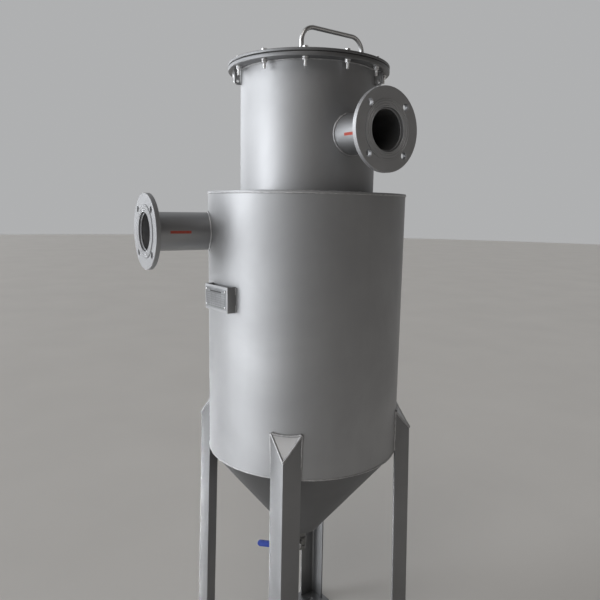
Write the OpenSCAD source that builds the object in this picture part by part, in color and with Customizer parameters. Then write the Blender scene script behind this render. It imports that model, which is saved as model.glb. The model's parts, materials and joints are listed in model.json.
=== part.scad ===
// Cyclone separator on four angle-iron legs, millimetres.
// The origin is on the floor, on the vessel's axis. +Z is up, +X is the outlet side
// and -Y is the inlet side.

/* [Lower vessel] */
// Outer diameter of the lower shell
lower_d = 580; // [560:5:640]
// Wall of the lower shell
lower_t = 5; // [3:0.5:8]
// Height of the lower shell, without the shoulder plate
lower_h = 763; // [700:1:900]
// Height of the lower shell's bottom edge above the floor
base_z = 774; // [720:1:900]
// Thickness of the shoulder plate that closes the lower shell
shoulder_t = 5; // [3:0.5:10]
// How far the shoulder plate stands out past the shell
shoulder_lip = 2; // [0:0.5:5]

/* [Cone] */
// Height of the cone
cone_h = 292; // [260:1:400]
// Wall of the cone
cone_t = 5; // [3:0.5:7]
// Outer diameter of the cone's tip
tip_d = 108; // [90:1:130]

/* [Upper vessel] */
// Outer diameter of the upper shell
upper_d = 392; // [370:2:420]
// Wall of the upper shell
upper_t = 5; // [3:0.5:8]
// Height of the upper shell above the shoulder plate
upper_h = 343; // [310:1:420]

/* [Body flange and cover] */
// Outer diameter of the body flange and the cover
rim_d = 462; // [462:2:520]
// Thickness of the body flange
rim_t = 10; // [8:0.5:16]
// Depth of the shell's top edge below the body flange's face
rim_recess = 3; // [1:0.5:5]
// Thickness of the gasket
gasket_t = 2.5; // [1.5:0.5:4]
// How far the gasket's edge is set back from the rim
gasket_inset = 1; // [0:0.5:3]
// Thickness of the cover
cover_t = 7; // [5:0.5:12]
// Chamfer of the cover's and the body flange's outer edges
rim_chamfer = 1; // [0.5:0.5:2]

/* [Cover bolts] */
// Number of cover bolts
bolt_n = 12; // [8:1:16]
// Bolt circle diameter
bolt_pcd = 430; // [426:1:436]
// Angle of the first bolt from the outlet
bolt_turn = 21; // [0:1:29]
// Thread diameter of the cover bolts
bolt_d = 8; // [6:1:10]
// Bolt hole's diameter over the thread's
bolt_play = 1; // [0.6:0.2:1.6]
// Length of thread below the nut
bolt_tail = 15; // [4:1:20]
// Washer thickness
washer_t = 1.6; // [1:0.2:2.4]

/* [Cover handle] */
// Diameter of the handle's rod
grip_d = 12; // [8:1:16]
// Distance between the handle's legs, between centres
grip_span = 210; // [150:2:240]
// Height of the handle above the cover
grip_h = 81; // [60:1:110]
// Radius of the handle's bends, at the rod's centre
grip_bend = 39; // [20:1:45]
// Distance of the handle from the vessel's axis
grip_x = 108; // [80:1:130]

/* [Pipes and flanges] */
// Outer diameter of the inlet and outlet pipes
pipe_d = 108; // [90:2:114]
// Wall of the pipes
pipe_t = 4; // [3:0.5:8]
// Outer diameter of the pipe flanges
flange_d = 210; // [206:2:230]
// Thickness of the pipe flanges, raised face included
flange_t = 15; // [12:1:24]
// Diameter of the raised face
face_d = 148; // [140:1:150]
// Height of the raised face
face_h = 2; // [1:0.5:3]
// Bolt circle diameter of the pipe flanges
flange_pcd = 170; // [168:1:180]
// Diameter of the flange bolt holes
flange_hole_d = 18; // [14:1:18]
// Number of flange bolt holes
flange_hole_n = 4; // [4:4:8]
// Depth of the pipe's end below the flange face
pipe_recess = 10; // [2:1:10]

/* [Inlet] */
// Direction of the inlet, degrees from the outlet
inlet_azimuth = -95; // [-100:1:-80]
// Distance of the inlet's centre line from the vessel's axis
inlet_offset = 92.5; // [60:0.5:120]
// Distance of the inlet's flange face from the vessel's axis
inlet_reach = 464; // [430:1:520]
// Distance of the inlet's centre line below the lower shell's top
inlet_drop = 109; // [90:1:160]

/* [Outlet] */
// Distance of the outlet's flange face from the vessel's axis
outlet_reach = 336; // [310:1:380]
// Distance of the outlet's centre line above the shoulder plate
outlet_rise = 153; // [115:1:190]

/* [Legs] */
// Width of the leg angle's two sides
leg_w = 60; // [50:1:70]
// Thickness of the leg angle
leg_t = 5; // [4:0.5:8]
// Root radius of the leg angle
leg_root = 6; // [3:0.5:8]
// Outward lean of the legs towards the floor, in degrees
leg_splay = 1.4; // [0:0.1:3]
// Length of the leg beside the shell, at its highest
leg_lap = 128; // [100:1:180]
// Drop of the slanted leg top, from the shell to the corner
leg_drop = 60; // [30:1:80]
// Thickness of the cap on the leg top
cap_t = 4; // [3:0.5:8]
// Side of the square foot plate
foot_w = 100; // [90:2:130]
// Thickness of the foot plate
foot_t = 8; // [5:1:15]
// How far the foot plate reaches past the leg's corner
foot_lip = 15; // [5:1:25]
// Diameter of the anchor hole
anchor_d = 14; // [10:1:18]
// Distance of the anchor hole from the leg's corner, along both sides
anchor_in = 40; // [32:1:50]

/* [Drain] */
// Outer diameter of the drain nipple
nipple_d = 26.9; // [24:0.1:30]
// Bore of the drain nipple
nipple_bore = 18; // [14:0.5:20]
// Length of the nipple between the cone's tip and the valve
nipple_l = 21; // [4:1:40]
// Thickness of the plate that closes the cone's tip
end_plate_t = 8; // [5:1:12]

/* [Valve] */
// Length of the valve body
valve_l = 60; // [56:1:80]
// Width across flats of the valve's hexagon ends
valve_af = 32; // [30:1:38]
// Length of each hexagon end
valve_end = 14; // [12:1:16]
// Outer diameter of the valve's ball chamber
chamber_d = 38; // [36:1:44]
// Diameter of the threaded sockets at the valve's ends
socket_d = 24; // [22:0.5:24.5]
// Depth of the threaded sockets
socket_depth = 12; // [10:1:13]
// Diameter of the ball
ball_d = 27; // [24:0.5:28]
// Bore through the ball and its seats
port_d = 15; // [12:0.5:16]
// Direction of the valve stem, degrees from the outlet
stem_azimuth = -45; // [-90:1:0]
// Diameter of the stem
stem_d = 10; // [8:0.5:12]
// Outer diameter of the bonnet round the stem
bonnet_d = 19; // [18:0.5:24]
// Distance of the bonnet's face from the vessel's axis
bonnet_reach = 30; // [26:1:36]
// Thickness of the gland nut
gland_h = 5; // [3:0.5:8]
// Width across flats of the gland nut
gland_af = 20; // [18:0.5:24]

/* [Lever] */
// Thickness of the lever plate
lever_t = 3; // [2:0.5:5]
// Breadth of the lever plate
lever_w = 15; // [12:0.5:17]
// Length of the lever, from the stem to its tip
lever_l = 129; // [110:1:170]
// Distance from the stem to the lever's bend
bend_at = 26; // [22:1:36]
// How far the bend sets the grip outwards
bend_out = 10; // [6:1:16]
// Length of the vinyl sleeve
sleeve_l = 84; // [60:1:90]
// Breadth of the vinyl sleeve
sleeve_w = 22; // [20:0.5:26]
// Thickness of the vinyl sleeve, over the lever
sleeve_t = 8; // [6:0.5:10]

/* [Name plate] */
// Direction of the name plate, degrees from the outlet
plate_azimuth = -88; // [-100:1:-60]
// Width of the name plate's bracket
bracket_w = 120; // [90:2:150]
// Height of the name plate's bracket
bracket_h = 70; // [50:1:100]
// Thickness of the bracket's sheet
bracket_t = 2; // [1.5:0.5:4]
// How far the bracket's face stands off the shell
bracket_off = 20; // [15:1:40]
// Distance of the bracket's centre below the lower shell's top
bracket_drop = 285; // [210:1:400]
// Border of the bracket's face round the name plate
plate_border = 7; // [4:1:12]
// Thickness of the name plate
plate_t = 1; // [0.8:0.2:2]

/* [Lifting lugs] */
// Thickness of the lifting lugs
lug_t = 8; // [6:1:12]
// How far the lugs stand out from the shell
lug_w = 19; // [17:1:30]
// Height of the lugs
lug_h = 38; // [30:1:70]
// Diameter of the lug's hole
lug_hole_d = 8; // [6:1:12]
// Radius of the lug's lower corner
lug_round = 9; // [4:1:12]

/* [Hidden] */
// Gap left at welded seats and round parts that slide in
seat = 0.3;
// Running gap of the valve's stem and ball
run = 0.1;
// Overshoot of cutting tools
cut = 1;
$fn = 96;

lower_r = lower_d / 2;
upper_r = upper_d / 2;
rim_r = rim_d / 2;
pipe_r = pipe_d / 2;

shoulder_z = base_z + lower_h;
upper_z = shoulder_z + shoulder_t;
inlet_z = shoulder_z - inlet_drop;
outlet_z = upper_z + outlet_rise;
bracket_z = shoulder_z - bracket_drop;
rim_z = upper_z + upper_h + rim_recess - rim_t;
gasket_z = rim_z + rim_t;
cover_z = gasket_z + gasket_t;
cover_top = cover_z + cover_t;

tip_z = base_z - cone_h;
cone_tilt = atan((lower_r - tip_d / 2) / cone_h);
cone_wall = cone_t / cos(cone_tilt);
tip_bore_r = tip_d / 2 - cone_wall;

// Hexagon sizes that go with a bolt's thread
hex_af = 1.6 * bolt_d;
head_h = 0.66 * bolt_d;
nut_h = 0.82 * bolt_d;
washer_r = bolt_d;
bolt_hole_r = (bolt_d + bolt_play) / 2;

// The inner corner of each leg side meets the shell at its bottom edge
half = sqrt(0.5);
leg_lean = tan(leg_splay);
leg_r = sqrt(pow(lower_r + seat, 2) - pow((leg_w - leg_t) * half, 2)) + (leg_w + leg_t) * half;
leg_top = base_z + leg_lap;
leg_slope = atan(leg_drop / (leg_w * half));
leg_corner = (leg_r + (base_z - foot_t) * leg_lean) * half;
leg_tips = leg_r - leg_w * half - leg_lap * leg_lean;

valve_z = tip_z - nipple_l - valve_l / 2;
spigot_r = socket_d / 2 - seat;
lever_x = bonnet_reach + gland_h + 2 * seat;
grip_lever_x = lever_x + bend_out;
sleeve_gap = 0.2;
lever_nut_af = 1.6 * stem_d;
lever_nut_h = 0.6 * stem_d;
thread_end = 2;
thread_r = 0.4 * stem_d;

// The lugs stand midway between bolts, after the first bolt and after the eighth
lug_azimuths = [for (gap = [0, 7]) bolt_turn + (gap + 0.5) * 360 / bolt_n];

// A hollow cylinder that stands on the XY plane
module tube(r, wall, h) {
    difference() {
        cylinder(r = r, h = h);
        translate([0, 0, -cut]) cylinder(r = r - wall, h = h + 2 * cut);
    }
}

// A disc or ring whose outer edges are chamfered
module chamfered_ring(r, bore_r, h, c) {
    rotate_extrude() polygon([[bore_r, 0], [r - c, 0], [r, c], [r, h - c], [r - c, h], [bore_r, h]]);
}

// Places children at each cover bolt
module at_bolts() {
    for (i = [0 : bolt_n - 1]) rotate([0, 0, bolt_turn + i * 360 / bolt_n]) {
        translate([bolt_pcd / 2, 0, 0]) children();
    }
}

// A hexagon prism by its width across flats
module hexagon(af, h) {
    cylinder(r = af / 2 / cos(30), h = h, $fn = 6);
}

// The inlet's and the outlet's frames: Z runs out along the pipe
module at_inlet() {
    translate([0, 0, inlet_z]) rotate([0, 0, inlet_azimuth]) {
        translate([0, -inlet_offset, 0]) rotate([0, 90, 0]) children();
    }
}

module at_outlet() {
    translate([0, 0, outlet_z]) rotate([0, 90, 0]) children();
}

// The valve stem's frame: X runs out along the stem, -Y along the lever
module at_stem() {
    translate([0, 0, valve_z]) rotate([0, 0, stem_azimuth]) children();
}

module lower_shell() {
    color("silver") difference() {
        translate([0, 0, base_z]) tube(lower_r, lower_t, lower_h);
        at_inlet() cylinder(r = pipe_r + seat, h = inlet_reach);
    }
}

module shoulder_plate() {
    color("silver") translate([0, 0, shoulder_z]) difference() {
        cylinder(r = lower_r + shoulder_lip, h = shoulder_t);
        translate([0, 0, -cut]) cylinder(r = upper_r - upper_t, h = shoulder_t + 2 * cut);
    }
}

module cone() {
    color("silver") rotate_extrude() polygon([
        [tip_bore_r, tip_z],
        [tip_d / 2, tip_z],
        [lower_r, base_z],
        [lower_r - cone_wall, base_z]
    ]);
}

module upper_shell() {
    color("silver") difference() {
        translate([0, 0, upper_z]) tube(upper_r, upper_t, upper_h);
        at_outlet() cylinder(r = pipe_r + seat, h = outlet_reach);
    }
}

module body_flange() {
    color("silver") difference() {
        translate([0, 0, rim_z]) chamfered_ring(rim_r, upper_r + seat, rim_t, rim_chamfer);
        at_bolts() translate([0, 0, rim_z - cut]) cylinder(r = bolt_hole_r, h = rim_t + 2 * cut);
    }
}

module cover_gasket() {
    color("dimgray") difference() {
        translate([0, 0, gasket_z]) tube(rim_r - gasket_inset, rim_r - gasket_inset - upper_r, gasket_t);
        at_bolts() translate([0, 0, gasket_z - cut]) cylinder(r = bolt_hole_r, h = gasket_t + 2 * cut);
    }
}

module cover() {
    color("silver") difference() {
        translate([0, 0, cover_z]) chamfered_ring(rim_r, 0, cover_t, rim_chamfer);
        at_bolts() translate([0, 0, cover_z - cut]) cylinder(r = bolt_hole_r, h = cover_t + 2 * cut);
    }
}

module cover_bolts() {
    head_z = cover_top + washer_t;
    tail_z = rim_z - washer_t - nut_h - bolt_tail;
    color("gainsboro") at_bolts() {
        translate([0, 0, head_z]) hexagon(hex_af, head_h);
        translate([0, 0, tail_z]) cylinder(r = bolt_d / 2, h = head_z - tail_z);
    }
}

module cover_washers() {
    color("gainsboro") at_bolts() for (z = [cover_top, rim_z - washer_t]) {
        translate([0, 0, z]) tube(washer_r, washer_r - bolt_d / 2 - seat, washer_t);
    }
}

module cover_nuts() {
    color("gainsboro") at_bolts() translate([0, 0, rim_z - washer_t - nut_h]) difference() {
        hexagon(hex_af, nut_h);
        translate([0, 0, -cut]) cylinder(r = bolt_d / 2 + run, h = nut_h + 2 * cut);
    }
}

// One bend of the handle and the leg under it, at the end of the straight grip
module grip_end() {
    bend_z = grip_h - grip_d / 2 - grip_bend;
    translate([0, 0, bend_z]) rotate([90, 0, 90]) rotate_extrude(angle = 90) {
        translate([grip_bend, 0]) circle(d = grip_d);
    }
    translate([0, grip_bend, 0]) cylinder(d = grip_d, h = bend_z);
}

module cover_handle() {
    straight = grip_span - 2 * grip_bend;
    color("gainsboro") translate([grip_x, 0, cover_top]) {
        translate([0, straight / 2, 0]) grip_end();
        translate([0, -straight / 2, 0]) mirror([0, 1, 0]) grip_end();
        translate([0, -straight / 2, grip_h - grip_d / 2]) {
            rotate([-90, 0, 0]) cylinder(d = grip_d, h = straight);
        }
    }
}

// A flat-welded pipe flange with a raised face, its face at z = reach
module pipe_flange(reach) {
    translate([0, 0, reach - flange_t]) difference() {
        rotate_extrude() polygon([
            [pipe_r + seat, 0],
            [flange_d / 2, 0],
            [flange_d / 2, flange_t - face_h],
            [face_d / 2, flange_t - face_h],
            [face_d / 2, flange_t],
            [pipe_r + seat, flange_t]
        ]);
        for (i = [0 : flange_hole_n - 1]) rotate([0, 0, (i + 0.5) * 360 / flange_hole_n]) {
            translate([flange_pcd / 2, 0, -cut]) cylinder(d = flange_hole_d, h = flange_t + 2 * cut);
        }
    }
}

module inlet_pipe() {
    color("silver") difference() {
        at_inlet() tube(pipe_r, pipe_t, inlet_reach - pipe_recess);
        translate([0, 0, base_z]) cylinder(r = lower_r - lower_t, h = lower_h);
    }
}

module inlet_flange() {
    color("silver") at_inlet() pipe_flange(inlet_reach);
}

module outlet_pipe() {
    color("silver") difference() {
        at_outlet() tube(pipe_r, pipe_t, outlet_reach - pipe_recess);
        translate([0, 0, upper_z]) cylinder(r = upper_r - upper_t, h = upper_h);
    }
}

module outlet_flange() {
    color("silver") at_outlet() pipe_flange(outlet_reach);
}

// A slanted block over a leg: its underside is lowered by the depth given from the slant
module slanted_block(depth, h) {
    reach = 4 * leg_w;
    translate([leg_tips, 0, leg_top]) rotate([0, leg_slope, 0]) {
        translate([-reach / 2, -reach / 2, -depth]) cube([reach, reach, h]);
    }
}

// The outline of the leg angle, its corner at the origin
module angle_outline() {
    difference() {
        square(leg_w);
        translate([leg_t + leg_root, leg_t + leg_root]) circle(r = leg_root);
        translate([leg_t + leg_root, leg_t]) square(leg_w);
        translate([leg_t, leg_t + leg_root]) square(leg_w);
    }
}

// The leg's frame: the leaning outer corner runs along Z, the sides along X and Y
module at_leg() {
    translate([leg_r, 0, base_z]) rotate([0, -leg_splay, 0]) rotate([0, 0, 135]) children();
}

// The space of the lower shell beside the leg
module shell_space() {
    translate([0, 0, base_z - cut]) cylinder(r = lower_r + seat, h = 2 * (leg_lap + leg_drop));
}

module leg(azimuth) {
    color("silver") rotate([0, 0, azimuth]) difference() {
        at_leg() translate([0, 0, -base_z]) {
            linear_extrude(base_z + leg_lap + leg_w) angle_outline();
        }
        slanted_block(cap_t, 8 * leg_w);
        translate([0, -leg_w, -leg_w]) cube([2 * leg_r, 2 * leg_w, leg_w + foot_t]);
        shell_space();
    }
}

// The plate that closes the leg's slanted top against the shell
module leg_cap(azimuth) {
    color("silver") rotate([0, 0, azimuth]) difference() {
        intersection() {
            at_leg() cube([leg_w, leg_w, leg_lap + leg_drop]);
            slanted_block(cap_t, cap_t);
        }
        shell_space();
    }
}

module foot(azimuth) {
    side = leg_corner + foot_lip;
    color("silver") rotate([0, 0, azimuth - 45]) difference() {
        translate([side - foot_w, side - foot_w, 0]) cube([foot_w, foot_w, foot_t]);
        translate([leg_corner - anchor_in, leg_corner - anchor_in, -cut]) {
            cylinder(d = anchor_d, h = foot_t + 2 * cut);
        }
    }
}

module leg_front_right() { leg(-45); }
module leg_front_left() { leg(-135); }
module leg_back_left() { leg(135); }
module leg_back_right() { leg(45); }
module leg_cap_front_right() { leg_cap(-45); }
module leg_cap_front_left() { leg_cap(-135); }
module leg_cap_back_left() { leg_cap(135); }
module leg_cap_back_right() { leg_cap(45); }
module foot_front_right() { foot(-45); }
module foot_front_left() { foot(-135); }
module foot_back_left() { foot(135); }
module foot_back_right() { foot(45); }

module drain_nipple() {
    valve_top = tip_z - nipple_l;
    color("silver") rotate_extrude() polygon([
        [nipple_bore / 2, valve_top - socket_depth + seat],
        [spigot_r, valve_top - socket_depth + seat],
        [spigot_r, valve_top],
        [nipple_d / 2, valve_top],
        [nipple_d / 2, tip_z],
        [tip_bore_r - seat, tip_z],
        [tip_bore_r - seat, tip_z + end_plate_t],
        [nipple_bore / 2, tip_z + end_plate_t]
    ]);
}

module valve_body() {
    mid = valve_l - 2 * valve_end;
    chamfer = (chamber_d - valve_af) / 2;
    color("gray") at_stem() difference() {
        union() {
            translate([0, 0, -valve_l / 2]) hexagon(valve_af, valve_l);
            rotate_extrude() polygon([
                [0, -mid / 2],
                [valve_af / 2, -mid / 2],
                [chamber_d / 2, -mid / 2 + chamfer],
                [chamber_d / 2, mid / 2 - chamfer],
                [valve_af / 2, mid / 2],
                [0, mid / 2]
            ]);
            rotate([0, 90, 0]) cylinder(d = bonnet_d, h = bonnet_reach);
        }
        sphere(d = ball_d + 2 * run);
        translate([0, 0, -valve_l / 2 - cut]) cylinder(d = port_d, h = valve_l + 2 * cut);
        for (side = [0, 1]) mirror([0, 0, side]) {
            translate([0, 0, valve_l / 2 - socket_depth]) cylinder(d = socket_d, h = socket_depth + cut);
        }
        rotate([0, 90, 0]) cylinder(d = stem_d + 2 * run, h = bonnet_reach + cut);
    }
}

module gland_nut() {
    color("gray") at_stem() translate([bonnet_reach, 0, 0]) rotate([0, 90, 0]) difference() {
        hexagon(gland_af, gland_h);
        translate([0, 0, -cut]) cylinder(d = stem_d + 2 * run, h = gland_h + 2 * cut);
    }
}

// The stem and the ball it turns, the ball's bore along the lever
module valve_stem() {
    color("silver") at_stem() difference() {
        union() {
            sphere(d = ball_d);
            rotate([0, 90, 0]) cylinder(d = stem_d, h = lever_x + lever_t);
            rotate([0, 90, 0]) cylinder(r = thread_r, h = lever_x + lever_t + lever_nut_h + thread_end);
        }
        translate([0, -ball_d, 0]) rotate([-90, 0, 0]) cylinder(d = port_d, h = 2 * ball_d);
    }
}

// The side view of the bent lever: x along the stem, y along the lever
module lever_side() {
    polygon([
        [lever_x, lever_w],
        [lever_x + lever_t, lever_w],
        [lever_x + lever_t, -bend_at],
        [grip_lever_x + lever_t, -bend_at - bend_out],
        [grip_lever_x + lever_t, -lever_l],
        [grip_lever_x, -lever_l],
        [grip_lever_x, -bend_at - bend_out - lever_t / 2],
        [lever_x, -bend_at - lever_t / 2]
    ]);
}

// The face of a strap with round ends: y runs from high to low
module strap_face(w, high, low) {
    translate([-w / 2, low + w / 2]) square([w, high - low - w]);
    for (y = [low + w / 2, high - w / 2]) translate([0, y]) circle(d = w);
}

module valve_lever() {
    color("silver") at_stem() difference() {
        intersection() {
            translate([0, 0, -lever_w]) linear_extrude(2 * lever_w) lever_side();
            rotate([0, 90, 0]) linear_extrude(grip_lever_x + 2 * lever_t) {
                strap_face(lever_w, lever_w / 2, -lever_l);
            }
        }
        rotate([0, 90, 0]) cylinder(d = stem_d + 2 * run, h = grip_lever_x);
    }
}

module lever_nut() {
    color("gainsboro") at_stem() translate([lever_x + lever_t, 0, 0]) rotate([0, 90, 0]) difference() {
        hexagon(lever_nut_af, lever_nut_h);
        translate([0, 0, -cut]) cylinder(r = thread_r + run, h = lever_nut_h + 2 * cut);
    }
}

module lever_sleeve() {
    wall = (sleeve_w - lever_w) / 2;
    open_y = -lever_l - wall + sleeve_l;
    mid_x = grip_lever_x + lever_t / 2;
    pocket_w = lever_w + 2 * sleeve_gap;
    pocket_t = lever_t + 2 * sleeve_gap;
    color("mediumblue") at_stem() difference() {
        translate([mid_x - sleeve_t / 2, 0, 0]) rotate([0, 90, 0]) linear_extrude(sleeve_t) {
            intersection() {
                strap_face(sleeve_w, open_y + sleeve_w, -lever_l - wall);
                translate([-sleeve_w, open_y - sleeve_l]) square([2 * sleeve_w, sleeve_l]);
            }
        }
        translate([mid_x - pocket_t / 2, 0, 0]) rotate([0, 90, 0]) linear_extrude(pocket_t) {
            strap_face(pocket_w, open_y + sleeve_w, -lever_l - sleeve_gap);
        }
    }
}

// The name plate's frame: X runs out from the shell, Z up from the bracket's centre
module at_plate() {
    translate([0, 0, bracket_z]) rotate([0, 0, plate_azimuth]) children();
}

module name_plate_bracket() {
    face_x = lower_r + bracket_off;
    color("silver") difference() {
        at_plate() translate([0, -bracket_w / 2, -bracket_h / 2]) difference() {
            cube([face_x, bracket_w, bracket_h]);
            translate([-bracket_t, bracket_t, -cut]) {
                cube([face_x, bracket_w - 2 * bracket_t, bracket_h + 2 * cut]);
            }
        }
        translate([0, 0, base_z]) cylinder(r = lower_r + seat, h = lower_h);
    }
}

module name_plate() {
    w = bracket_w - 2 * plate_border;
    h = bracket_h - 2 * plate_border;
    color("lightgray") at_plate() translate([lower_r + bracket_off, -w / 2, -h / 2]) cube([plate_t, w, h]);
}

module lifting_lug(azimuth) {
    reach = upper_r + lug_w;
    hole_x = reach - lug_w / 2;
    color("silver") rotate([0, 0, azimuth]) difference() {
        translate([0, lug_t / 2, rim_z - lug_h]) rotate([90, 0, 0]) linear_extrude(lug_t) difference() {
            union() {
                translate([0, lug_round]) square([reach, lug_h - lug_round]);
                square([reach - lug_round, lug_h]);
                translate([reach - lug_round, lug_round]) circle(r = lug_round);
            }
            translate([hole_x, lug_w / 2]) circle(d = lug_hole_d);
        }
        translate([0, 0, upper_z]) cylinder(r = upper_r + seat, h = upper_h + rim_t);
    }
}

module lifting_lug_right() { lifting_lug(lug_azimuths[0]); }
module lifting_lug_left() { lifting_lug(lug_azimuths[1]); }

lower_shell();
shoulder_plate();
cone();
upper_shell();
body_flange();
cover_gasket();
cover();
cover_bolts();
cover_washers();
cover_nuts();
cover_handle();
inlet_pipe();
inlet_flange();
outlet_pipe();
outlet_flange();
leg_front_right();
leg_front_left();
leg_back_left();
leg_back_right();
leg_cap_front_right();
leg_cap_front_left();
leg_cap_back_left();
leg_cap_back_right();
foot_front_right();
foot_front_left();
foot_back_left();
foot_back_right();
drain_nipple();
valve_body();
gland_nut();
valve_stem();
valve_lever();
lever_nut();
lever_sleeve();
name_plate_bracket();
name_plate();
lifting_lug_right();
lifting_lug_left();
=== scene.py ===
"""Cyclone separator: finishes, fastenings, welds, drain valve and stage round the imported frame."""

import json
import math

import bmesh
import bpy
from bpy.props import FloatProperty, FloatVectorProperty, IntProperty, PointerProperty
from mathutils import Matrix, Vector, noise

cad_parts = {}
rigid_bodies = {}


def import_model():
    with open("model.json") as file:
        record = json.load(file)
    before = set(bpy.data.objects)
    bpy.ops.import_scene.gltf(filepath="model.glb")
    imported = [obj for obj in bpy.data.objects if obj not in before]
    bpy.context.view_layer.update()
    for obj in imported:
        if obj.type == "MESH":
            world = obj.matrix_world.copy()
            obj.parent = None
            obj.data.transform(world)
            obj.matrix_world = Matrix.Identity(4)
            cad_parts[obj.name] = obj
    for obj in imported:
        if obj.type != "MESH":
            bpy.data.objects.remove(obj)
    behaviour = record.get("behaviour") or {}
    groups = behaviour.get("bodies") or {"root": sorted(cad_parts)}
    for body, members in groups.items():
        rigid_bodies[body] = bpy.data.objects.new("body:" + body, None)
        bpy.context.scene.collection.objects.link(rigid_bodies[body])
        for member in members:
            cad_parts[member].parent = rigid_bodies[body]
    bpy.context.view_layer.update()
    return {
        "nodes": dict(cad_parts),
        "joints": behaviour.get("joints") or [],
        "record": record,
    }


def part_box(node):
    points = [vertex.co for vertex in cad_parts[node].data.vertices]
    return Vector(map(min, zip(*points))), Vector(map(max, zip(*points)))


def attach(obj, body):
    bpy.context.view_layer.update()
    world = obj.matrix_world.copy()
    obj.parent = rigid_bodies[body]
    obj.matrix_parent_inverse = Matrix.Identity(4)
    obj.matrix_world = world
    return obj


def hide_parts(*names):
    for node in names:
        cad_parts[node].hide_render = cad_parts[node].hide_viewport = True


bl_info = {
    "name": "Cyclone Separator",
    "version": (1, 0, 0),
    "blender": (4, 5, 0),
    "location": "View3D > Sidebar > Cyclone",
    "description": "Dresses a cyclone separator: steel finishes, welds, fastenings, valve and stage",
    "category": "Add Mesh",
}

MM = 0.001
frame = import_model()
MOUNTS = {mount["name"]: mount for mount in frame["record"]["mounts"]}
JOINT = frame["joints"][0]
VESSEL = JOINT["parent"]
LEVER = JOINT["child"]
CORNERS = ("front_right", "front_left", "back_left", "back_right")


def length_property(name, description, default):
    """A length property, in metres."""
    return FloatProperty(name=name, description=description, default=default, unit="LENGTH")


def angle_property(name, description, degrees):
    """An angle property, its default given in degrees."""
    return FloatProperty(
        name=name, description=description, default=math.radians(degrees), subtype="ANGLE"
    )


def colour_property(name, description, default):
    """A colour property."""
    return FloatVectorProperty(
        name=name, description=description, default=default, subtype="COLOR", size=3, min=0, max=1
    )


class CycloneSizes(bpy.types.PropertyGroup):
    """Sizes of what is built here. Those of the solids come from the frame."""

    bolt_circle: length_property("Bolt circle", "Diameter of the cover's bolt circle", 0.430)
    bolt_count: IntProperty(name="Bolt count", description="Number of cover bolts", default=12, min=3)
    bolt_turn: angle_property("Bolt turn", "Angle of the first cover bolt from the outlet", 21)
    bolt_thread: length_property("Bolt thread", "Thread diameter of the cover bolts", 0.008)
    thread_pitch: length_property("Thread pitch", "Height of one turn of the bolt thread", 0.00125)
    raised_face: length_property("Raised face", "Diameter of the pipe flanges' raised face", 0.148)
    groove_depth: length_property("Groove depth", "Depth of the sealing grooves", 0.0011)
    neck_bead: length_property("Neck bead", "Radius of the bead round the upper shell's foot", 0.0030)
    cone_bead: length_property("Cone bead", "Radius of the bead round the cone's top", 0.0023)
    rim_bead: length_property("Rim bead", "Radius of the bead under the body flange", 0.0016)
    pipe_bead: length_property("Pipe bead", "Radius of the beads round the pipes", 0.0027)
    inner_bead: length_property("Inner bead", "Radius of the beads at the pipes' ends", 0.0033)
    leg_bead: length_property("Leg bead", "Radius of the beads of legs and caps", 0.0032)
    small_bead: length_property("Small bead", "Radius of the other welds' beads", 0.0019)
    ripple: length_property("Ripple", "Distance between the ripples of a bead", 0.0034)
    leg_width: length_property("Leg width", "Width of the leg angle's sides", 0.060)
    leg_wall: length_property("Leg wall", "Thickness of the leg angle", 0.005)
    leg_splay: angle_property("Leg splay", "Outward lean of the legs", 1.4)
    leg_lap: length_property("Leg lap", "Height of the leg tops above the shell's bottom edge", 0.128)
    cap_drop: length_property("Cap drop", "Drop of the slanted leg top to its corner", 0.060)
    rivet: length_property("Rivet", "Radius of the name plate's rivet heads", 0.0032)
    mark_length: length_property("Mark length", "Length of the paint marks on the pipes", 0.060)
    mark_height: length_property("Mark height", "Height of the paint marks on the pipes", 0.0075)


class CycloneColours(bpy.types.PropertyGroup):
    """Colours of the finishes."""

    steel: colour_property("Blasted steel", "Vessel, pipes and legs", (0.40, 0.403, 0.41))
    bright: colour_property("Bright steel", "Bolts, handle and rivets", (0.82, 0.82, 0.82))
    weld: colour_property("Weld metal", "Weld beads", (0.50, 0.50, 0.505))
    casting: colour_property("Valve casting", "Body of the drain valve", (0.24, 0.24, 0.235))
    rubber: colour_property("Gasket rubber", "Gasket under the cover", (0.012, 0.012, 0.013))
    vinyl: colour_property("Lever sleeve", "Dipped sleeve of the valve lever", (0.016, 0.05, 0.34))
    plate: colour_property("Name plate", "Etched sheet of the name plate", (0.27, 0.275, 0.28))
    ink: colour_property("Etched lines", "Ruled lines of the name plate", (0.028, 0.03, 0.033))
    mark: colour_property("Paint mark", "Marks on the two pipes", (0.44, 0.045, 0.02))
    floor: colour_property("Floor", "Studio floor", (0.67, 0.65, 0.62))


# Finishes


def shade(colour, share):
    """A colour made darker, or paler where share is over 1."""
    return tuple(min(1.0, channel * share) for channel in colour)


def fill(node, values):
    """Sets the inputs of a shader node, and returns the node."""
    for name, value in values.items():
        node.inputs[name].default_value = value
    return node


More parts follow.
